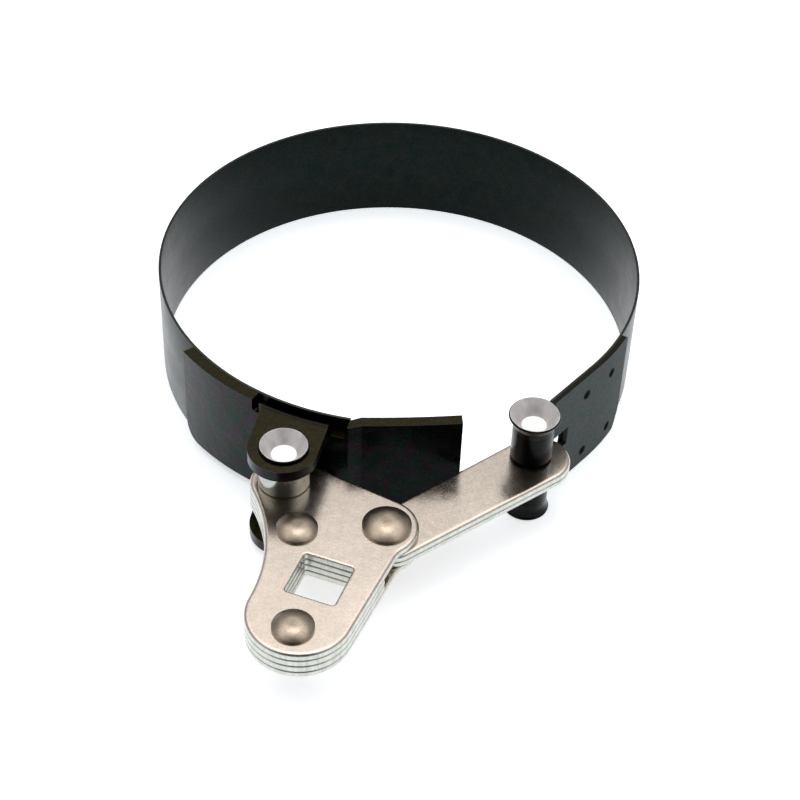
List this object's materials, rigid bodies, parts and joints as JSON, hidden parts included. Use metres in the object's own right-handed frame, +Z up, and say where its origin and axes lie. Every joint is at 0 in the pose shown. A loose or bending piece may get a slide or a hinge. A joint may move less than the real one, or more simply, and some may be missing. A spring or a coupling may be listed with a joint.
{
  "type": "band wrench for oil filters",
  "caption": "Steel band wrench for oil filters: a thin flexing band closed by a pivoting head and a link, with a square drive hole.",
  "frame": {"origin": "on the filter's axis at the band's mid height", "axes": "+Z up along the filter's axis, the head and its square drive towards -Y, the link and the folded strap on the +X side"},
  "size_m": [0.132, 0.1978, 0.0326],
  "materials": {
    "band": "satin black oxide on thin spring steel",
    "saddle": "dark oiled black oxide, mottled",
    "strap": "matte grey black oxide",
    "plate": "satin zinc with a warm tint",
    "pin": "black oxide, bright in the dished ends",
    "spacer": "smooth dark bright steel",
    "rivet": "dark bronze grey steel"
  },
  "bodies": {
    "left_half": {"band_left": "band", "left_bracket": "saddle", "left_pin": "pin", "spacer_upper": "spacer", "spacer_lower": "spacer"},
    "right_half": {"band_right": "band", "right_bracket": "strap", "right_pin": "pin"},
    "head": {"head_plate_top": "plate", "head_plate_upper_inner": "plate", "head_plate_lower_inner": "plate", "head_plate_bottom": "plate", "pivot_rivet": "rivet", "front_rivet": "rivet", "rear_rivet": "rivet"},
    "link": {"link_plate_upper": "plate", "link_plate_lower": "plate"}
  },
  "joints": [
    {"name": "head_turn", "type": "hinge", "parent": "left_half", "child": "head", "pos_m": [-0.0266, -0.0758, 0], "axis": [0, 0, 1], "range_deg": [-40, 5]},
    {"name": "band_flex", "type": "hinge", "parent": "left_half", "child": "right_half", "pos_m": [-0.05349, 0.03745, 0], "axis": [0, 0, 1], "range_deg": [-8.85, 1.15]},
    {"name": "link_swing", "type": "hinge", "parent": "right_half", "child": "link", "pos_m": [0.0356, -0.061, 0], "axis": [0, 0, 1], "range_deg": [-1.5, 11.7]}
  ],
  "couplings": [
    {"joint": "band_flex", "follows": "head_turn", "ratio": 0.2196},
    {"joint": "link_swing", "follows": "head_turn", "ratio": -0.29}
  ]
}
